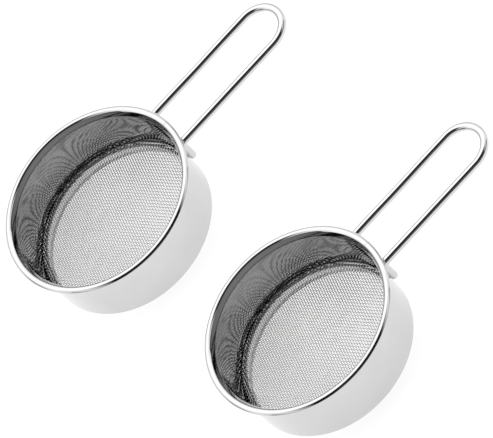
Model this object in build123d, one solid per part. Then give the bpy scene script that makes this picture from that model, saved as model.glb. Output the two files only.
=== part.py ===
from build123d import *

import math
import os

# Pair of round hand sieves in stainless steel, each a rolled cup with a woven-wire floor and a wire
# handle.  Both sieves stand on z = 0, and their handles point to +X.  Units are millimetres.

# ---- cup: one strip rolled into a ring -------------------------------------
SHEET = 0.5                 # thickness of the strip
WALL_LOW_R = 47.25          # middle of the sheet at the foot of the wall
WALL_TOP_R = 48.3           # and where the wall meets the shoulder
LIP_IN_R = 44.9             # inner edge of the lip turned in at the foot of the wall
LIP_FILLET = 1.0            # bend between lip and wall
SHOULDER_SLOPE = 60.0       # rise of the shoulder between wall and rim, degrees
SHOULDER_FILLET = 1.0       # bend between wall and shoulder
RIM_IN_R = 50.3             # corner between shoulder and rim, before rounding
RIM_FILLET = 1.65           # bend at that corner
RIM_SLOPE = 15.0            # fall of the rim's top, degrees
TURN_R = 52.0               # where the rim turns down to its outer edge
TURN_FILLET = 1.0           # bend there
TURN_SLOPE = 45.0           # fall of the turned-down edge, degrees
HEM_R = 0.55                # outer radius of the hem folded under the rim's outer edge
HEM_OUT_R = 53.05           # outside of the rim
HEM_Z = 34.6                # height of the hem's centre above the base
HEM_RETURN = 0.7            # width of the hem under the rim
SEAM_GAP = 0.35             # butt joint where the two ends of the strip meet
SEAM_REACH = 8.0            # how far the cut for the joint runs past the wall, in, out and up

# ---- clamp hoop and woven floor ---------------------------------------------
HOOP_R = 46.0               # middle of the hoop strip
HOOP_CURL_R = 1.0           # middle radius of the inward curl on the hoop's top edge
HOOP_CURL_Z = 6.7           # height of the curl's centre
MESH_T = 0.8                # two crossing wires, one over the other
MESH_Z = 7.6                # middle of the flat floor
MESH_DRAPE_R = 1.7          # middle radius of the floor where it is drawn over the hoop
MESH_FOOT_R = 5.0           # hollow bend between the ridge and the flat floor
MESH_HEM_Z = 5.9            # lower end of the mesh edge between hoop and wall
MESH_LAP = 1.0              # overlap of the flat floor with its turned edge, in one solid

# ---- handle: one bent wire --------------------------------------------------
WIRE_R = 2.2
LEG_PITCH = 26.86           # between the middles of the two legs
HANDLE_REACH = 133.15       # cup axis to the outside of the handle's end
LEG_Z = 31.45               # middle of the legs, just clear of the rim above
FOOT_RING_R = 51.05         # middle of the feet, from the cup axis
FOOT_BEND_R = 3.0           # middle radius of the bend from leg to foot
FOOT_TIP_Z = 17.9           # lower end of the feet
WELD_HALF_W = 1.5
WELD_CORNER_R = 1.2
WELD_LOW_Z = 20.5
WELD_TOP_Z = 27.5

# ---- how the two sieves lie -------------------------------------------------
PAIR_DX = 24.0
PAIR_DY = -154.3

HALF_PITCH = LEG_PITCH / 2
FOOT_X = math.sqrt(FOOT_RING_R ** 2 - HALF_PITCH ** 2)
# the frame's origin is the bottom centre of the pair's bounding box
MID_X = (-HEM_OUT_R + PAIR_DX + HANDLE_REACH) / 2
MID_Y = PAIR_DY / 2
PLACES = {
    "a": (-MID_X, -MID_Y),
    "b": (PAIR_DX - MID_X, PAIR_DY - MID_Y),
}


def unit(angle):
    """Unit vector in the section plane, angle in degrees from the outward radius."""
    return Vector(math.cos(math.radians(angle)), math.sin(math.radians(angle)))


def section(edges, thickness):
    """Face of even thickness laid along a chain of edges, in the XZ plane."""
    wire = Wire(edges)
    outline = wire.offset_2d(thickness / 2, kind=Kind.ARC, side=Side.BOTH, closed=True)
    return Plane.XZ * Face(outline)


def spin(face):
    return revolve(face, Axis.Z, 360.0)


def arc_about(centre, radius, start, sweep_angle):
    """Arc round a centre, from a start angle through a signed sweep, in degrees."""
    points = [centre + unit(start + sweep_angle * part) * radius for part in (0.0, 0.5, 1.0)]
    return Edge.make_three_point_arc(*points)


def rounded_path(points, radii):
    """Edges through the points, with each inner corner rounded by its radius."""
    edges = []
    start = points[0]
    for before, corner, after, radius in zip(points, points[1:], points[2:], radii):
        into = (corner - before).normalized()
        out = (after - corner).normalized()
        turn = math.radians(into.get_angle(out))
        setback = radius * math.tan(turn / 2)
        arc_start = corner - into * setback
        arc_end = corner + out * setback
        inward = (out - into).normalized()
        centre = corner + inward * (radius / math.cos(turn / 2))
        arc_mid = centre - inward * radius
        edges.append(Edge.make_line(start, arc_start))
        edges.append(Edge.make_three_point_arc(arc_start, arc_mid, arc_end))
        start = arc_end
    edges.append(Edge.make_line(start, points[-1]))
    return edges


def sloped_from(point, radius, slope):
    """Point at another radius on the line that falls outwards through a point, slope in degrees."""
    return Vector(radius, point.Y + (point.X - radius) * math.tan(math.radians(slope)))


def strip_corners():
    """Corners of the strip's middle line: lip end, wall foot, shoulder foot, rim corner, turn, fold."""
    half = SHEET / 2
    hem = Vector(HEM_OUT_R - HEM_R, HEM_Z)
    fold_start = hem + unit(90.0 - TURN_SLOPE) * (HEM_R - half)
    turn = sloped_from(fold_start, TURN_R, TURN_SLOPE)
    rim_corner = sloped_from(turn, RIM_IN_R, RIM_SLOPE)
    shoulder_foot = sloped_from(rim_corner, WALL_TOP_R, -SHOULDER_SLOPE)
    wall_foot = Vector(WALL_LOW_R, half)
    lip_end = Vector(LIP_IN_R + half, half)
    return [lip_end, wall_foot, shoulder_foot, rim_corner, turn, fold_start]


def band_section():
    """Lip, wall, shoulder, sloping rim, turned-down edge and hem as one strip of even thickness."""
    fold_r = HEM_R - SHEET / 2
    hem = Vector(HEM_OUT_R - HEM_R, HEM_Z)
    fold_end = hem - unit(90.0 - TURN_SLOPE) * fold_r
    edges = rounded_path(strip_corners(), [LIP_FILLET, SHOULDER_FILLET, RIM_FILLET, TURN_FILLET])
    edges.append(arc_about(hem, fold_r, 90.0 - TURN_SLOPE, -180.0))
    edges.append(Edge.make_line(fold_end, fold_end + unit(180.0 - TURN_SLOPE) * HEM_RETURN))
    return section(edges, SHEET)


def seam_slab(low_z):
    """Thin slab across the strip at the handle side, from low_z upwards."""
    height = HEM_Z + SEAM_REACH - low_z
    return Pos(WALL_LOW_R, 0, low_z + height / 2) * Box(2 * SEAM_REACH, SEAM_GAP, height)


def make_band():
    return spin(band_section()) - seam_slab(-SHEET)


def make_seam_weld():
    """Filler in the butt joint of wall, shoulder and rim, ground flush."""
    low_z = SHEET + LIP_FILLET
    return spin(band_section()) & seam_slab(low_z)


def make_hoop():
    """Strip standing on the lip, its top edge curled inwards."""
    low = Vector(HOOP_R, SHEET + SHEET / 2)
    top = Vector(HOOP_R, HOOP_CURL_Z)
    centre = Vector(HOOP_R - HOOP_CURL_R, HOOP_CURL_Z)
    return spin(section([
        Edge.make_line(low, top),
        arc_about(centre, HOOP_CURL_R, 0.0, 180.0),
    ], SHEET))


def make_mesh_disc():
    """Woven floor as a thin even sheet: flat, over the hoop, then down beside the wall."""
    centre = Vector(HOOP_R - HOOP_CURL_R, HOOP_CURL_Z)
    reach = MESH_DRAPE_R + MESH_FOOT_R
    slope = math.acos((MESH_Z + MESH_FOOT_R - HOOP_CURL_Z) / reach)
    turn = math.degrees(slope)
    flat_end = Vector(centre.X - reach * math.sin(slope), MESH_Z)
    foot_centre = flat_end + Vector(0, MESH_FOOT_R)
    hem_r = centre.X + MESH_DRAPE_R
    half = MESH_T / 2
    rim_part = section([
        Edge.make_line(flat_end - Vector(2 * MESH_LAP, 0), flat_end),
        arc_about(foot_centre, MESH_FOOT_R, -90.0, turn),
        arc_about(centre, MESH_DRAPE_R, 90.0 + turn, -90.0 - turn),
        Edge.make_line(Vector(hem_r, HOOP_CURL_Z), Vector(hem_r, MESH_HEM_Z + half)),
    ], MESH_T)
    flat_part = Pos(0, 0, MESH_Z) * Cylinder(flat_end.X - MESH_LAP, MESH_T)
    return spin(rim_part) + flat_part


def handle_path():
    """Middle line of the handle wire, from one foot tip to the other."""
    tip_x = HANDLE_REACH - WIRE_R
    bow_x = tip_x - HALF_PITCH
    leg_x = FOOT_X + FOOT_BEND_R
    foot_top = LEG_Z - FOOT_BEND_R
    foot_low = FOOT_TIP_Z + WIRE_R
    mid = FOOT_BEND_R * (1.0 - math.sqrt(0.5))
    edges = []
    for y in (-HALF_PITCH, HALF_PITCH):
        edges.append(Edge.make_line((FOOT_X, y, foot_low), (FOOT_X, y, foot_top)))
        edges.append(Edge.make_three_point_arc(
            (FOOT_X, y, foot_top),
            (FOOT_X + mid, y, LEG_Z - mid),
            (leg_x, y, LEG_Z),
        ))
        edges.append(Edge.make_line((leg_x, y, LEG_Z), (bow_x, y, LEG_Z)))
    edges.append(Edge.make_three_point_arc(
        (bow_x, -HALF_PITCH, LEG_Z),
        (tip_x, 0, LEG_Z),
        (bow_x, HALF_PITCH, LEG_Z),
    ))
    return Wire(edges)


def make_handle():
    """U of round wire with both ends turned down and rounded."""
    foot_low = FOOT_TIP_Z + WIRE_R
    start = Plane(origin=(FOOT_X, -HALF_PITCH, foot_low), z_dir=(0, 0, 1))
    wire = sweep(start * Circle(WIRE_R), path=handle_path())
    for y in (-HALF_PITCH, HALF_PITCH):
        wire += Pos(FOOT_X, y, foot_low) * Sphere(WIRE_R)
    return wire


def make_wall_core():
    """Solid cone that fills the wall out to its outer face."""
    low, top = strip_corners()[1:3]
    height = top.Y - low.Y
    skin = SHEET / 2 * math.hypot(1.0, (top.X - low.X) / height)
    return Pos(0, 0, low.Y + height / 2) * Cone(low.X + skin, top.X + skin, height)


def make_foot_weld(side):
    """Filler between a foot and the wall, side is -1 or 1."""
    angle = math.degrees(math.atan2(side * HALF_PITCH, FOOT_X))
    height = WELD_TOP_Z - WELD_LOW_Z
    inner_r = WALL_LOW_R
    length = FOOT_RING_R - inner_r
    middle = Pos(inner_r + length / 2, 0, WELD_LOW_Z + height / 2)
    block = middle * Box(length, 2 * WELD_HALF_W, height)
    block = fillet(block.edges().filter_by(Axis.X), WELD_CORNER_R)
    block = Rot(0, 0, angle) * block
    block -= make_wall_core()
    block -= Pos(FOOT_X, side * HALF_PITCH, WELD_LOW_Z + height / 2) * Cylinder(WIRE_R, 2 * height)
    return block


def make_sieve():
    """The separate pieces of one sieve, cup axis on Z."""
    return {
        "body_band": make_band(),
        "seam_weld": make_seam_weld(),
        "clamp_hoop": make_hoop(),
        "mesh_disc": make_mesh_disc(),
        "handle_wire": make_handle(),
        "weld_near": make_foot_weld(-1),
        "weld_far": make_foot_weld(1),
    }


def main():
    os.makedirs("parts", exist_ok=True)
    pieces = make_sieve()
    for tag, (x, y) in PLACES.items():
        for name, shape in pieces.items():
            export_step(Pos(x, y, 0) * shape, f"parts/{tag}_{name}.step")


main()
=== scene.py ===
import math

import bpy
import numpy as np
from mathutils import Matrix, Vector


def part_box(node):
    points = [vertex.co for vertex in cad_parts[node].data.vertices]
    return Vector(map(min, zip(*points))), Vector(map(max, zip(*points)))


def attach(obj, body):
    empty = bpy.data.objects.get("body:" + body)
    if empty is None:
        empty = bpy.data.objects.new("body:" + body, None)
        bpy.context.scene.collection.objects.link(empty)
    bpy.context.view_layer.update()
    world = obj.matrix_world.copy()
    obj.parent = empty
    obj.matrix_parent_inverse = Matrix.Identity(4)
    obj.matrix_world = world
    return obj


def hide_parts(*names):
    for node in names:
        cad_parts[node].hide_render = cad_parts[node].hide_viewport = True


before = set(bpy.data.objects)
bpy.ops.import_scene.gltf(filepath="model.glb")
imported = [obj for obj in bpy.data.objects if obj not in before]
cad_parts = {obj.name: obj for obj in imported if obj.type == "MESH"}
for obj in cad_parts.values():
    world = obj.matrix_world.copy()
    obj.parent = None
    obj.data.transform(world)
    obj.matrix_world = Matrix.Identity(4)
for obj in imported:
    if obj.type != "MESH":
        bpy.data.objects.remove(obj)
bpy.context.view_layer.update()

MM = 0.001

# ---- sizes of one sieve, in millimetres from the cup's axis and base --------------
SHEET = 0.5
WALL_LOW_R = 47.25
WALL_TOP_R = 48.3
LIP_IN_R = 44.9
SHOULDER_SLOPE = 60.0
RIM_IN_R = 50.3
RIM_SLOPE = 15.0
TURN_R = 52.0
TURN_SLOPE = 45.0
HEM_R = 0.55
HEM_OUT_R = 53.05
HEM_Z = 34.6
HEM_RETURN = 0.7
LIP_FILLET = 1.0
SHOULDER_FILLET = 1.0
RIM_FILLET = 1.65
TURN_FILLET = 1.0
SEAM_GAP = 0.35

HOOP_R = 46.0
HOOP_CURL_R = 1.0
HOOP_CURL_Z = 6.7

MESH_Z = 7.6
DRAPE_R = 1.7
DRAPE_FOOT_R = 5.0
HEM_END_Z = 6.1
MESH_WIRE_R = 0.225
WARP_PITCH = 1.27
WEFT_PITCH = 1.15
WEAVE_ANGLE = -17.0         # the weft wires' direction, from the handle's

WIRE_R = 2.2
LEG_HALF_PITCH = 13.43
HANDLE_REACH = 133.15
LEG_Z = 31.45
FOOT_RING_R = 51.05
FOOT_BEND_R = 3.0
FOOT_TIP_Z = 17.9
WELD_LOW_Z = 20.5
WELD_TOP_Z = 27.5

# ---- what hands and tools leave on the pieces, in millimetres ----------------------
BEAD_CROWN = 0.035          # height of the seam bead above the sheet
BEAD_RIPPLE = 0.012
BEAD_STEP = 0.12            # along the seam
BEAD_RIPPLE_TURN = 1.9      # radians of ripple a step
LEG_WAVER_UP = 0.10
LEG_WAVER_SIDE = 0.07
FOOT_POINT_R = 0.02         # smallest ring of a foot's round end
WELD_HALF_W = 1.55
WELD_END_HALF_W = 0.12
WELD_WAVER = 0.22
WELD_RIPPLE = 0.07
WELD_RIPPLE_TURN = 1.7      # radians of ripple a level
WELD_BLUNTNESS = 0.45       # power of the sine that tapers its two ends
WELD_SWELL = 0.42           # how far the filler stands off the wall beside the foot
WELD_SINK = 0.03            # and how far its edge sits in the wall
WELD_TOUCH = 118.0          # degrees round the foot, from straight outwards, to where the filler meets it
WELD_TOUCH_AT_ENDS = 144.0

FOOT_X = math.sqrt(FOOT_RING_R ** 2 - LEG_HALF_PITCH ** 2)


# ---- outlines ---------------------------------------------------------------------
def unit(degrees):
    angle = math.radians(degrees)
    return np.array([math.cos(angle), math.sin(angle)])


def arc(centre, radius, start, turn, step=6.0):
    """Points on an arc from a start angle through a signed turn, in degrees."""
    count = max(2, int(abs(turn) / step) + 1)
    angles = np.linspace(start, start + turn, count)
    return [np.asarray(centre) + unit(a) * radius for a in angles]


def run(start, end, step=1.5):
    count = max(2, int(np.linalg.norm(np.subtract(end, start)) / step) + 1)
    return [np.asarray(p) for p in np.linspace(start, end, count)]


def rounded(corners, radii):
    """The corners joined by straight runs, each inner corner rounded by its radius."""
    points = []
    start = np.asarray(corners[0], float)
    for before, corner, after, radius in zip(corners, corners[1:], corners[2:], radii):
        corner = np.asarray(corner, float)
        into = (corner - before) / np.linalg.norm(corner - before)
        out = (after - corner) / np.linalg.norm(after - corner)
        turn = math.atan2(into[0] * out[1] - into[1] * out[0], into @ out)
        setback = radius * math.tan(abs(turn) / 2)
        arc_start = corner - into * setback
        side = math.copysign(1.0, turn)
        centre = arc_start + side * radius * np.array([-into[1], into[0]])
        first = math.degrees(math.atan2(*(arc_start - centre)[::-1]))
        points += run(start, arc_start)[:-1]
        points += arc(centre, radius, first, math.degrees(turn))
        start = corner + out * setback
        points.pop()
    return points + run(start, corners[-1])


def normals_along(path):
    """Left-hand unit normals of an open path."""
    path = np.asarray(path)
    tangent = np.gradient(path, axis=0)
    tangent /= np.linalg.norm(tangent, axis=1)[:, None]
    return np.stack([-tangent[:, 1], tangent[:, 0]], axis=1)


def skin(path, half):
    """Closed outline of a strip of even thickness laid along a path, with round ends."""
    path = np.asarray(path)
    side = normals_along(path)
    left = path + side * half
    right = path - side * half
    last = math.degrees(math.atan2(side[-1][1], side[-1][0]))
    first = math.degrees(math.atan2(-side[0][1], -side[0][0]))
    end_cap = arc(path[-1], half, last, -180.0, step=30.0)[1:-1]
    start_cap = arc(path[0], half, first, -180.0, step=30.0)[1:-1]
    return np.array([*left, *end_cap, *right[::-1], *start_cap])


def sloped_from(point, radius, slope):
    """Point at another radius on the line that falls outwards through a point, slope in degrees."""
    return np.array([radius, point[1] + (point[0] - radius) * math.tan(math.radians(slope))])


def strip_corners():
    """Corners of the strip's middle line: lip end, wall foot, shoulder foot, rim corner, turn, fold."""
    half = SHEET / 2
    hem = np.array([HEM_OUT_R - HEM_R, HEM_Z])
    fold_start = hem + unit(90.0 - TURN_SLOPE) * (HEM_R - half)
    turn = sloped_from(fold_start, TURN_R, TURN_SLOPE)
    rim_corner = sloped_from(turn, RIM_IN_R, RIM_SLOPE)
    shoulder_foot = sloped_from(rim_corner, WALL_TOP_R, -SHOULDER_SLOPE)
    wall_foot = np.array([WALL_LOW_R, half])
    lip_end = np.array([LIP_IN_R + half, half])
    return [lip_end, wall_foot, shoulder_foot, rim_corner, turn, fold_start]


def band_path():
    """Middle line of the cup's strip: lip, wall, shoulder, rim, turned-down edge and folded hem."""
    hem = np.array([HEM_OUT_R - HEM_R, HEM_Z])
    fold_r = HEM_R - SHEET / 2
    fold_end = hem - unit(90.0 - TURN_SLOPE) * fold_r
    path = rounded(strip_corners(), [LIP_FILLET, SHOULDER_FILLET, RIM_FILLET, TURN_FILLET])[:-1]
    path += arc(hem, fold_r, 90.0 - TURN_SLOPE, -180.0, step=12.0)[:-1]
    return path + run(fold_end, fold_end + unit(180.0 - TURN_SLOPE) * HEM_RETURN, step=0.6)


def hoop_path():
    half = SHEET / 2
    centre = (HOOP_R - HOOP_CURL_R, HOOP_CURL_Z)
    upright = run((HOOP_R, SHEET + half), (HOOP_R, HOOP_CURL_Z))
    return upright[:-1] + arc(centre, HOOP_CURL_R, 0.0, 180.0, step=10.0)


def drape_path():
    """Middle line of the woven floor, from where it leaves the flat to the end of its hem."""
    centre = np.array([HOOP_R - HOOP_CURL_R, HOOP_CURL_Z])
    rise = (MESH_Z + DRAPE_FOOT_R - HOOP_CURL_Z) / (DRAPE_R + DRAPE_FOOT_R)
    slope = math.degrees(math.acos(rise))
    foot_r = centre[0] - (DRAPE_R + DRAPE_FOOT_R) * math.sin(math.radians(slope))
    path = arc((foot_r, MESH_Z + DRAPE_FOOT_R), DRAPE_FOOT_R, -90.0, slope, step=2.0)[:-1]
    path += arc(centre, DRAPE_R, 90.0 + slope, -90.0 - slope)[:-1]
    hem_r = centre[0] + DRAPE_R
    return np.array(path + run((hem_r, HOOP_CURL_Z), (hem_r, HEM_END_Z), step=0.2))


# ---- making pieces ------------------------------------------------------------------
def make_piece(name, tag, points, faces, uvs, material, slot_name, *nodes):
    """A mesh piece of one sieve; points are in millimetres from the cup's axis and base."""
    mesh = bpy.data.meshes.new(name)
    place = np.array([*CUP_AXIS[tag], 0.0])
    mesh.from_pydata((np.asarray(points) * MM + place).tolist(), [], faces)
    layer = mesh.uv_layers.new(name="UVMap")
    corner_vertex = np.empty(len(mesh.loops), dtype=np.int32)
    mesh.loops.foreach_get("vertex_index", corner_vertex)
    layer.data.foreach_set("uv", np.asarray(uvs, dtype=np.float32)[corner_vertex].ravel())
    mesh.polygons.foreach_set("use_smooth", [True] * len(mesh.polygons))
    mesh.set_sharp_from_angle(angle=math.radians(50))
    mesh.materials.append(material)
    piece = bpy.data.objects.new(name, mesh)
    bpy.context.scene.collection.objects.link(piece)
    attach(piece, f"sieve_{tag}")
    if nodes:
        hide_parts(*nodes)
    return piece


def grid_faces(rows, columns, wrap_rows=False, first=0):
    """Quads over rings of points stored row by row, the rows joined end to start if asked."""
    faces = []
    for row in range(rows if wrap_rows else rows - 1):
        here = first + row * columns
        there = first + (row + 1) % rows * columns
        for column in range(columns):
            beside = (column + 1) % columns
            faces.append((here + column, there + column, there + beside, here + beside))
    return faces


def end_caps(rings, sides, first=0):
    """The two closing faces of a tube stored ring by ring."""
    last = first + (rings - 1) * sides
    return [tuple(range(first + sides - 1, first - 1, -1)), tuple(range(last, last + sides))]


def lathe(outline, start, end, steps):
    """Points, faces and UVs of a closed outline turned about the axis, angles in degrees."""
    full = end - start >= 360.0
    angles = np.radians(np.linspace(start, end, steps, endpoint=not full))
    r, z = outline[:, 0], outline[:, 1]
    points = [np.stack([r * math.cos(a), r * math.sin(a), z], axis=1) for a in angles]
    length = np.concatenate([[0.0], np.cumsum(np.linalg.norm(np.diff(outline, axis=0), axis=1))])
    uvs = [np.stack([np.full(len(r), a * HOOP_R), length], axis=1) for a in angles]
    faces = grid_faces(steps, len(outline), wrap_rows=full)
    if not full:
        faces += [cap[::-1] for cap in end_caps(steps, len(outline))]
    return np.concatenate(points), faces, np.concatenate(uvs)


def tube(path, radii, sides, up):
    """Round tube along a path; up is a first guess at a direction across it."""
    path = np.asarray(path, float)
    tangent = np.gradient(path, axis=0)
    tangent /= np.linalg.norm(tangent, axis=1)[:, None]
    across = np.asarray(up, float)
    angles = np.linspace(0.0, 2 * math.pi, sides, endpoint=False)
    rings = []
    for centre, along, radius in zip(path, tangent, radii):
        across = across - along * (across @ along)
        across /= np.linalg.norm(across)
        other = np.cross(along, across)
        ring = np.outer(np.cos(angles), across) + np.outer(np.sin(angles), other)
        rings.append(centre + ring * radius)
    length = np.concatenate([[0.0], np.cumsum(np.linalg.norm(np.diff(path, axis=0), axis=1))])
    around = angles * max(radii)
    uvs = np.stack([np.repeat(length, sides), np.tile(around, len(path))], axis=1)
    faces = grid_faces(len(path), sides) + end_caps(len(path), sides)
    return np.concatenate(rings), faces, uvs


# ---- the pieces of one sieve ----------------------------------------------------------
def make_band(tag, material):
    gap = math.degrees(SEAM_GAP / 2 / WALL_LOW_R)
    points, faces, uvs = lathe(skin(band_path(), SHEET / 2), gap, 360.0 - gap, steps=480)
    make_piece(f"{tag}_cup", tag, points, faces, uvs, material, "cup_steel", f"{tag}_body_band")


def make_seam(tag, material):
    """Weld bead that fills the butt joint, rippled and a hair proud of the sheet."""
    corners = [p for p in band_path() if p[1] > SHEET + LIP_FILLET]
    path = np.array([p for a, b in zip(corners, corners[1:]) for p in run(a, b, BEAD_STEP)[:-1]])
    columns = np.linspace(-1.0, 1.0, 5)
    ripple = BEAD_RIPPLE * np.sin(np.arange(len(path)) * BEAD_RIPPLE_TURN)
    points = []
    for middle, normal, wave in zip(path, normals_along(path), ripple):
        for face in (1.0, -1.0):
            for column in columns * face:
                height = SHEET / 2 + (BEAD_CROWN + wave) * (1.0 - column ** 2)
                r, z = middle + normal * height * face
                points.append((r, column * SEAM_GAP / 2, z))
    sides = 2 * len(columns)
    uvs = [(p[1], p[2]) for p in points]
    faces = grid_faces(len(path), sides) + end_caps(len(path), sides)
    make_piece(f"{tag}_seam_bead", tag, points, faces, uvs, material, "weld_steel", f"{tag}_seam_weld")


def make_hoop(tag, material):
    points, faces, uvs = lathe(skin(hoop_path(), SHEET / 2), 0.0, 360.0, steps=360)
    make_piece(f"{tag}_hoop", tag, points, faces, uvs, material, "cup_steel", f"{tag}_clamp_hoop")


class Drape:
    """Lays a flat woven disc over the hoop: distance from the middle becomes distance along the drape."""

    def __init__(self):
        self.path = drape_path()
        steps = np.linalg.norm(np.diff(self.path, axis=0), axis=1)
        self.length = self.path[0][0] + np.concatenate([[0.0], np.cumsum(steps)])
        self.normal = normals_along(self.path)
        self.reach = self.length[-1]

    def lay(self, flat, lift):
        """Places flat points (n by 2), each lifted off the middle surface by lift."""
        distance = np.maximum(np.linalg.norm(flat, axis=1), 1e-6)
        heading = flat / distance[:, None]
        on_flat = distance <= self.length[0]
        r = np.where(on_flat, distance, np.interp(distance, self.length, self.path[:, 0]))
        z = np.where(on_flat, MESH_Z, np.interp(distance, self.length, self.path[:, 1]))
        normal_r = np.where(on_flat, 0.0, np.interp(distance, self.length, self.normal[:, 0]))
        normal_z = np.where(on_flat, 1.0, np.interp(distance, self.length, self.normal[:, 1]))
        r = r + normal_r * lift
        return np.column_stack([heading * r[:, None], z + normal_z * lift])


def weave(drape, own_pitch, cross_pitch, angle, sign, parity):
    """Every second wire of one direction of a plain weave, as tubes."""
    sides = 6
    steps_a_crossing = 5
    shortest_chord = 0.4
    uv_shift = 7.3          # so that no two wires have the same lines
    along, across = unit(angle), unit(angle - 90.0)
    ring_angles = np.linspace(0.0, 2 * math.pi, sides, endpoint=False)
    points, faces, uvs = [], [], []
    first = 0
    half_count = int(drape.reach / own_pitch) + 1
    for index in range(-half_count, half_count):
        if index % 2 != parity:
            continue
        offset = (index + 0.5) * own_pitch
        if abs(offset) >= drape.reach - shortest_chord:
            continue
        half_length = math.sqrt(drape.reach ** 2 - offset ** 2)
        count = max(6, int(2 * half_length / (cross_pitch / steps_a_crossing)))
        travel = np.linspace(-half_length, half_length, count)
        crimp = sign * np.cos(math.pi * (travel / cross_pitch - 0.5 + index)) * MESH_WIRE_R
        flat = np.outer(travel, along) + offset * across
        centre = drape.lay(flat, crimp)
        above = drape.lay(flat, crimp + 1.0) - centre
        tangent = np.gradient(centre, axis=0)
        tangent /= np.linalg.norm(tangent, axis=1)[:, None]
        above -= tangent * np.sum(above * tangent, axis=1)[:, None]
        above /= np.linalg.norm(above, axis=1)[:, None]
        beside = np.cross(tangent, above)
        ring = (np.cos(ring_angles)[None, :, None] * above[:, None, :]
                + np.sin(ring_angles)[None, :, None] * beside[:, None, :])
        points.append((centre[:, None, :] + ring * MESH_WIRE_R).reshape(-1, 3))
        around = np.tile(ring_angles * MESH_WIRE_R, count)
        uvs.append(np.column_stack([np.repeat(travel + uv_shift * index, sides), around]))
        faces += grid_faces(count, sides, first=first) + end_caps(count, sides, first)
        first += count * sides
    return np.concatenate(points), faces, np.concatenate(uvs)


def make_mesh(tag, material):
    drape = Drape()
    sets = {
        "weft": (WEFT_PITCH, WARP_PITCH, WEAVE_ANGLE, 1.0),
        "warp": (WARP_PITCH, WEFT_PITCH, WEAVE_ANGLE + 90.0, -1.0),
    }
    for name, (own, cross, angle, sign) in sets.items():
        for parity, word in enumerate(("even", "odd")):
            points, faces, uvs = weave(drape, own, cross, angle, sign, parity)
            make_piece(f"{tag}_{name}_{word}", tag, points, faces, uvs, material,
                       "mesh_steel", f"{tag}_mesh_disc")


def handle_path():
    """Middle line of the handle wire, foot to foot, with the slight waver of a wire bent by hand."""
    tip_x = HANDLE_REACH - WIRE_R
    bow_x = tip_x - LEG_HALF_PITCH
    leg_x = FOOT_X + FOOT_BEND_R
    foot_top = LEG_Z - FOOT_BEND_R
    low = FOOT_TIP_Z + WIRE_R
    side = [(FOOT_X, z) for z in np.arange(low, foot_top, 1.0)]
    side += [tuple(p) for p in arc((leg_x, foot_top), FOOT_BEND_R, 180.0, -90.0, step=7.5)]
    side += [(x, LEG_Z) for x in np.linspace(leg_x, bow_x, 60)[1:]]
    near = [(x, -LEG_HALF_PITCH, z) for x, z in side]
    bow = [(*p, LEG_Z) for p in arc((bow_x, 0.0), LEG_HALF_PITCH, -90.0, 180.0, step=3.0)][1:-1]
    far = [(x, LEG_HALF_PITCH, z) for x, z in reversed(side)]
    path = np.array(near + bow + far)
    reach = np.clip((path[:, 0] - leg_x) / (bow_x - leg_x), 0.0, 1.0)
    fade = np.sin(reach * math.pi)
    path[:, 2] += LEG_WAVER_UP * fade * np.sin(reach * 7.0 + np.sign(path[:, 1]))
    path[:, 1] += LEG_WAVER_SIDE * fade * np.sin(reach * 9.0 + 1.3)
    return path


def make_handle(tag, material):
    path = handle_path()
    cap = np.radians(np.linspace(90.0, 9.0, 10))
    down = np.array([0.0, 0.0, -1.0])
    start = [path[0] + down * WIRE_R * math.sin(a) for a in cap]
    end = [path[-1] + down * WIRE_R * math.sin(a) for a in cap[::-1]]
    tips = [max(WIRE_R * math.cos(a), FOOT_POINT_R) for a in cap]
    radii = tips + [WIRE_R] * len(path) + tips[::-1]
    points, faces, uvs = tube(start + list(path) + end, radii, sides=40, up=(1.0, 0.0, 0.0))
    make_piece(f"{tag}_handle", tag, points, faces, uvs, material, "wire_steel", f"{tag}_handle_wire")


def wall_out_r(z):
    """Outer radius of the wall at a height."""
    low, top = strip_corners()[1:3]
    return low[0] + (top[0] - low[0]) * z / top[1] + SHEET / 2


def make_foot_weld(tag, side, word, material, seed):
    """Fused filler in the two grooves between a foot and the wall, with a rippled, tapering edge."""
    rng = np.random.default_rng(seed)
    levels = np.linspace(WELD_LOW_Z, WELD_TOP_Z, 29)
    waver = np.convolve(rng.normal(0.0, WELD_WAVER, len(levels) + 4), np.ones(5) / 5, mode="valid")
    angle = math.atan2(side * LEG_HALF_PITCH, FOOT_X)
    outward = np.array([math.cos(angle), math.sin(angle)])
    sideways = np.array([-outward[1], outward[0]])
    arc_steps = np.linspace(0.0, 1.0, 7)
    points = []
    for level, (z, wobble) in enumerate(zip(levels, waver)):
        taper = math.sin(math.pi * (level + 0.6) / (len(levels) + 0.2)) ** WELD_BLUNTNESS
        ripple = WELD_RIPPLE * math.sin(level * WELD_RIPPLE_TURN)
        width = (WELD_HALF_W + wobble + ripple) * taper + WELD_END_HALF_W
        touch = math.radians(WELD_TOUCH_AT_ENDS + (WELD_TOUCH - WELD_TOUCH_AT_ENDS) * taper)
        wall = wall_out_r(z)
        ring = []
        for face in (1.0, -1.0):
            low = np.array([math.sqrt(wall ** 2 - width ** 2) - WELD_SINK, width * face])
            high = np.array([FOOT_RING_R + WIRE_R * math.cos(touch), WIRE_R * math.sin(touch) * face])
            pull = np.array([wall + WELD_SWELL, (0.42 * width + 0.3) * face])
            curve = [(1 - s) ** 2 * low + 2 * s * (1 - s) * pull + s ** 2 * high for s in arc_steps]
            ring += curve if face > 0 else curve[::-1]
        points += [(*(outward * r + sideways * t), z) for r, t in ring]
    sides = 2 * len(arc_steps)
    faces = grid_faces(len(levels), sides) + end_caps(len(levels), sides)
    uvs = [(p[1], p[2]) for p in points]
    make_piece(f"{tag}_foot_weld_{word}", tag, points, faces, uvs, material,
               "weld_steel", f"{tag}_weld_{word}")


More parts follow.
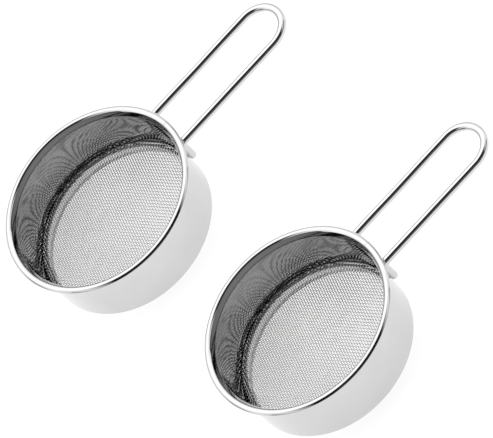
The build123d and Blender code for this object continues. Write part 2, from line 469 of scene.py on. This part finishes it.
# ---- materials ---------------------------------------------------------------------------
# Tone of a strip against millimetres round its section, painted shade and highlight included.  The cup's
# starts at the lip's end, runs up the inside, over the rim and back down the outside; the hoop's starts at
# its foot, inside.
TONES_END = 100.0
# cup: from 13 to 33.6 mm, the inside of the wall above the woven floor, 0.38 to 0.29 is painted shade; 0.90
# on the inside of the shoulder is a painted highlight; 0.66 down the outside is the sheet's own grey
CUP_TONE_AND_PAINTED_LIGHT = ((0.0, 0.70), (10.5, 0.70), (13.0, 0.38), (17.0, 0.29), (33.6, 0.29), (34.5, 0.90),
             (36.2, 0.90), (37.5, 0.66), (100.0, 0.66))
# hoop: 0.12 over the top and outer side of its curl, under the woven drape and facing the wall, is painted
# shade of the crevice; 0.64 is the sheet's own grey
HOOP_TONE_AND_PAINTED_SHADE = ((0.0, 0.64), (9.8, 0.64), (10.4, 0.12), (13.8, 0.12), (14.6, 0.64), (100.0, 0.64))


def set_stops(ramp, stops, low, high, blue=1.0):
    """Grey levels of a colour ramp, straight between stops of (value, level); low and high are its ends."""
    elements = ramp.color_ramp.elements
    for _ in stops[2:]:
        elements.new(0.5)
    for element, (value, level) in zip(elements, stops):
        element.position = (value - low) / (high - low)
        element.color = (level, level, level * blue, 1.0)


class Shader:
    """Short ways to add and join nodes of one material."""

    def __init__(self, name):
        self.material = bpy.data.materials.new(name)
        self.material.use_nodes = True
        self.tree = self.material.node_tree
        self.surface = self.tree.nodes["Principled BSDF"]

    def node(self, kind, **settings):
        made = self.tree.nodes.new(kind)
        for key, value in settings.items():
            setattr(made, key, value)
        return made

    def link(self, source, target):
        self.tree.links.new(source, target)

    def uv_noise(self, scale, stretch, detail=3.0, roughness=0.55):
        """Noise in the piece's own UVs, which are in millimetres, stretched along them."""
        uv = self.node("ShaderNodeUVMap", uv_map="UVMap")
        mapping = self.node("ShaderNodeMapping")
        mapping.inputs["Scale"].default_value = (*stretch, 1.0)
        noise = self.node("ShaderNodeTexNoise")
        noise.inputs["Scale"].default_value = scale
        noise.inputs["Detail"].default_value = detail
        noise.inputs["Roughness"].default_value = roughness
        self.link(uv.outputs["UV"], mapping.inputs["Vector"])
        self.link(mapping.outputs["Vector"], noise.inputs["Vector"])
        return noise.outputs["Fac"]

    def space_noise(self, scale, detail=3.0):
        """Noise in object space, in metres."""
        where = self.node("ShaderNodeTexCoord")
        noise = self.node("ShaderNodeTexNoise")
        noise.inputs["Scale"].default_value = scale
        noise.inputs["Detail"].default_value = detail
        self.link(where.outputs["Object"], noise.inputs["Vector"])
        return noise.outputs["Fac"]

    def spread(self, value, low, high, start=0.3, end=0.7):
        """A value stretched from start..end to low..high."""
        made = self.node("ShaderNodeMapRange")
        made.inputs["From Min"].default_value = start
        made.inputs["From Max"].default_value = end
        made.inputs["To Min"].default_value = low
        made.inputs["To Max"].default_value = high
        self.link(value, made.inputs["Value"])
        return made.outputs["Result"]

    def blend(self, value, dark, light):
        """Two colours mixed by a value."""
        mix = self.node("ShaderNodeMix", data_type="RGBA")
        mix.inputs["A"].default_value = (*dark, 1.0)
        mix.inputs["B"].default_value = (*light, 1.0)
        self.link(value, mix.inputs["Factor"])
        return mix.outputs["Result"]

    def multiply(self, first, second):
        made = self.node("ShaderNodeMath", operation="MULTIPLY")
        self.link(first, made.inputs[0])
        self.link(second, made.inputs[1])
        return made.outputs[0]

    def bump(self, height, strength, distance):
        made = self.node("ShaderNodeBump")
        made.inputs["Strength"].default_value = strength
        made.inputs["Distance"].default_value = distance
        self.link(height, made.inputs["Height"])
        self.link(made.outputs["Normal"], self.surface.inputs["Normal"])


def polished_strip(name, stops):
    """Bright rolled stainless sheet: rolling lines round the cup, cloudy polish; stops give its tone, with
    painted shade and highlight.
    """
    s = Shader(name)
    s.surface.inputs["Metallic"].default_value = 1.0
    lines = s.uv_noise(1.0, (0.05, 6.0), detail=4.0)
    clouds = s.space_noise(55.0)
    across = s.node("ShaderNodeSeparateXYZ")
    s.link(s.node("ShaderNodeUVMap", uv_map="UVMap").outputs["UV"], across.inputs["Vector"])
    # the sheet's own grey together with the painted shade and painted highlight held in its stops
    tone = s.node("ShaderNodeValToRGB")
    set_stops(tone, stops, 0.0, TONES_END, blue=1.01)
    s.link(s.spread(across.outputs["Y"], 0.0, 1.0, 0.0, TONES_END), tone.inputs["Fac"])
    mix = s.node("ShaderNodeMix", data_type="RGBA", blend_type="MULTIPLY")
    mix.inputs["Factor"].default_value = 1.0
    s.link(tone.outputs["Color"], mix.inputs["A"])
    s.link(s.blend(s.spread(clouds, 0.0, 1.0), (0.96, 0.96, 0.96), (1.0, 1.0, 1.0)), mix.inputs["B"])
    s.link(mix.outputs["Result"], s.surface.inputs["Base Color"])
    s.link(s.multiply(s.spread(lines, 0.85, 1.15), s.spread(clouds, 0.05, 0.09)),
           s.surface.inputs["Roughness"])
    s.bump(lines, 0.04, 0.00002)
    return s.material


def drawn_wire():
    """Bright handle wire: fine drawing lines along it."""
    s = Shader("drawn_wire")
    s.surface.inputs["Metallic"].default_value = 1.0
    lines = s.uv_noise(1.0, (0.04, 9.0), detail=4.0)
    clouds = s.space_noise(70.0)
    s.link(s.blend(s.spread(clouds, 0.0, 1.0), (0.63, 0.63, 0.635), (0.69, 0.69, 0.69)),
           s.surface.inputs["Base Color"])
    s.link(s.multiply(s.spread(lines, 0.8, 1.2), s.spread(clouds, 0.05, 0.09)),
           s.surface.inputs["Roughness"])
    s.bump(lines, 0.05, 0.00002)
    return s.material


def woven_wire():
    """Thin bright wires, each a little different, duller in patches."""
    s = Shader("woven_wire")
    s.surface.inputs["Metallic"].default_value = 1.0
    lines = s.uv_noise(1.0, (0.5, 12.0))
    patches = s.space_noise(140.0)
    each = s.node("ShaderNodeNewGeometry").outputs["Random Per Island"]
    tone = s.multiply(s.spread(patches, 0.75, 1.0), s.spread(each, 0.65, 1.0, 0.0, 1.0))
    s.link(s.blend(tone, (0.58, 0.58, 0.58), (0.86, 0.86, 0.86)), s.surface.inputs["Base Color"])
    s.link(s.spread(lines, 0.12, 0.2), s.surface.inputs["Roughness"])
    s.bump(lines, 0.08, 0.00002)
    return s.material


def weld_metal():
    """Cleaned weld metal: duller and pitted, straw and blue where it ran hot."""
    s = Shader("weld_metal")
    s.surface.inputs["Metallic"].default_value = 1.0
    grain = s.space_noise(2600.0)
    heat = s.space_noise(420.0)
    s.link(s.blend(s.spread(heat, 0.0, 1.0), (0.40, 0.39, 0.40), (0.58, 0.56, 0.53)),
           s.surface.inputs["Base Color"])
    s.link(s.spread(grain, 0.25, 0.45), s.surface.inputs["Roughness"])
    s.bump(grain, 0.35, 0.0001)
    return s.material


def floor_paint():
    """White light table."""
    s = Shader("pale_floor")
    grain = s.space_noise(6.0)
    s.link(s.blend(s.spread(grain, 0.0, 1.0), (0.35, 0.35, 0.35), (0.37, 0.37, 0.37)),
           s.surface.inputs["Base Color"])
    s.surface.inputs["Roughness"].default_value = 0.9
    s.surface.inputs["Specular IOR Level"].default_value = 0.1
    s.surface.inputs["Emission Color"].default_value = (1.0, 1.0, 1.0, 1.0)
    s.surface.inputs["Emission Strength"].default_value = FLOOR_GLOW
    return s.material


# ---- stage -----------------------------------------------------------------------------
# Levels of the surroundings: by a direction's height, by its tilt from overhead towards the front in
# degrees, and by how far it points sideways, which counts only from some height up.
DOME_STOPS = ((-1.0, 1.0), (-0.02, 1.0), (0.0, 0.38), (0.30, 0.62), (0.75, 0.82), (1.0, 1.0))
FRONT_STOPS = ((-180, 0.60), (-68, 0.60), (-56, 1.0), (-32, 1.0), (-18, 0.85), (-2, 0.80), (9, 0.01),
               (50, 0.01), (53, 0.08), (70, 0.11), (78, 0.17), (90, 0.17), (92, 0.77), (180, 0.77))
BESIDE_STOPS = ((0.0, 0.0), (0.62, 0.0), (0.84, 0.77), (1.0, 0.77))
BESIDE_HEIGHT_STOPS = ((-1.0, 0.0), (0.22, 0.0), (0.45, 1.0), (1.0, 1.0))
WORLD_STRENGTH = 1.95
FLOOR_HALF_SIZE = 30.0
FLOOR_GLOW = 0.86


def make_floor():
    half = FLOOR_HALF_SIZE
    corners = [(-half, -half, 0), (half, -half, 0), (half, half, 0), (-half, half, 0)]
    mesh = bpy.data.meshes.new("floor")
    mesh.from_pydata(corners, [], [(0, 1, 2, 3)])
    mesh.materials.append(floor_paint())
    floor = bpy.data.objects.new("floor", mesh)
    bpy.context.scene.collection.objects.link(floor)


def make_world():
    """White surroundings, brightest overhead, with an unlit stretch of ceiling and room above the front."""
    world = bpy.data.worlds.new("studio")
    bpy.context.scene.world = world
    world.use_nodes = True
    tree = world.node_tree
    join = tree.links.new

    def math_node(operation, first, second=None):
        made = tree.nodes.new("ShaderNodeMath")
        made.operation = operation
        for socket, value in zip(made.inputs, (first, second)):
            if isinstance(value, float):
                socket.default_value = value
            elif value is not None:
                join(value, socket)
        return made.outputs[0]

    def ramp(value, low, high, stops):
        """Levels of a value by its stops."""
        made = tree.nodes.new("ShaderNodeValToRGB")
        set_stops(made, stops, low, high)
        scaled = math_node("MULTIPLY_ADD", value, 1.0 / (high - low))
        scaled.node.inputs[2].default_value = -low / (high - low)
        join(scaled, made.inputs["Fac"])
        return made.outputs["Color"]

    where = tree.nodes.new("ShaderNodeTexCoord")
    split = tree.nodes.new("ShaderNodeSeparateXYZ")
    join(where.outputs["Generated"], split.inputs["Vector"])
    dome = ramp(split.outputs["Z"], -1.0, 1.0, DOME_STOPS)
    tilt = math_node("ARCTAN2", math_node("MULTIPLY", split.outputs["Y"], -1.0), split.outputs["Z"])
    front = ramp(math_node("MULTIPLY", tilt, 180.0 / math.pi), -180.0, 180.0, FRONT_STOPS)
    beside = ramp(math_node("ABSOLUTE", split.outputs["X"]), 0.0, 1.0, BESIDE_STOPS)
    beside = math_node("MULTIPLY", beside, ramp(split.outputs["Z"], -1.0, 1.0, BESIDE_HEIGHT_STOPS))
    kept = math_node("MAXIMUM", front, beside)
    background = tree.nodes["Background"]
    join(math_node("MULTIPLY", dome, kept), background.inputs["Color"])
    background.inputs["Strength"].default_value = WORLD_STRENGTH


CAMERA_ELEVATION = math.radians(48.06)
CAMERA_ROLL = math.radians(47.2)
CAMERA_DISTANCE = 10.0
CAMERA_FRAME_WIDTH = 0.2465     # seen across the picture, where the camera aims
CAMERA_AIM = (0.04393, -0.0835, 0.03495)    # from the base of sieve a's cup, on its axis
SENSOR_WIDTH = 36.0


def make_camera():
    """Long lens, looking down along +Y, rolled so that the handles point up to the right."""
    elevation, roll = CAMERA_ELEVATION, CAMERA_ROLL
    aim = Vector((*CUP_AXIS["a"], 0.0)) + Vector(CAMERA_AIM)
    back = Vector((0.0, -math.cos(elevation), math.sin(elevation)))
    level = Vector((1.0, 0.0, 0.0))
    upright = Vector((0.0, math.sin(elevation), math.cos(elevation)))
    right = level * math.cos(roll) - upright * math.sin(roll)
    up = level * math.sin(roll) + upright * math.cos(roll)
    data = bpy.data.cameras.new("camera")
    data.sensor_width = SENSOR_WIDTH
    data.lens = SENSOR_WIDTH * CAMERA_DISTANCE / CAMERA_FRAME_WIDTH
    data.clip_end = 10.0 * CAMERA_DISTANCE
    camera = bpy.data.objects.new("camera", data)
    turn = Matrix((right, up, back)).transposed().to_4x4()
    camera.matrix_world = Matrix.Translation(aim + back * CAMERA_DISTANCE) @ turn
    bpy.context.scene.collection.objects.link(camera)
    bpy.context.scene.camera = camera


def cup_axis(tag):
    low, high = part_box(f"{tag}_clamp_hoop")
    return ((low[0] + high[0]) / 2, (low[1] + high[1]) / 2)


CUP_AXIS = {tag: cup_axis(tag) for tag in "ab"}

strip = polished_strip("cup_strip", CUP_TONE_AND_PAINTED_LIGHT)
hoop_strip = polished_strip("hoop_strip", HOOP_TONE_AND_PAINTED_SHADE)
wire = drawn_wire()
woven = woven_wire()
weld = weld_metal()
for tag in "ab":
    make_band(tag, strip)
    make_seam(tag, weld)
    make_hoop(tag, hoop_strip)
    make_mesh(tag, woven)
    make_handle(tag, wire)
    make_foot_weld(tag, -1.0, "near", weld, seed=3)
    make_foot_weld(tag, 1.0, "far", weld, seed=8)

make_floor()
make_world()
make_camera()
bpy.context.scene.view_settings.view_transform = "Standard"
bpy.context.scene.view_settings.look = "None"
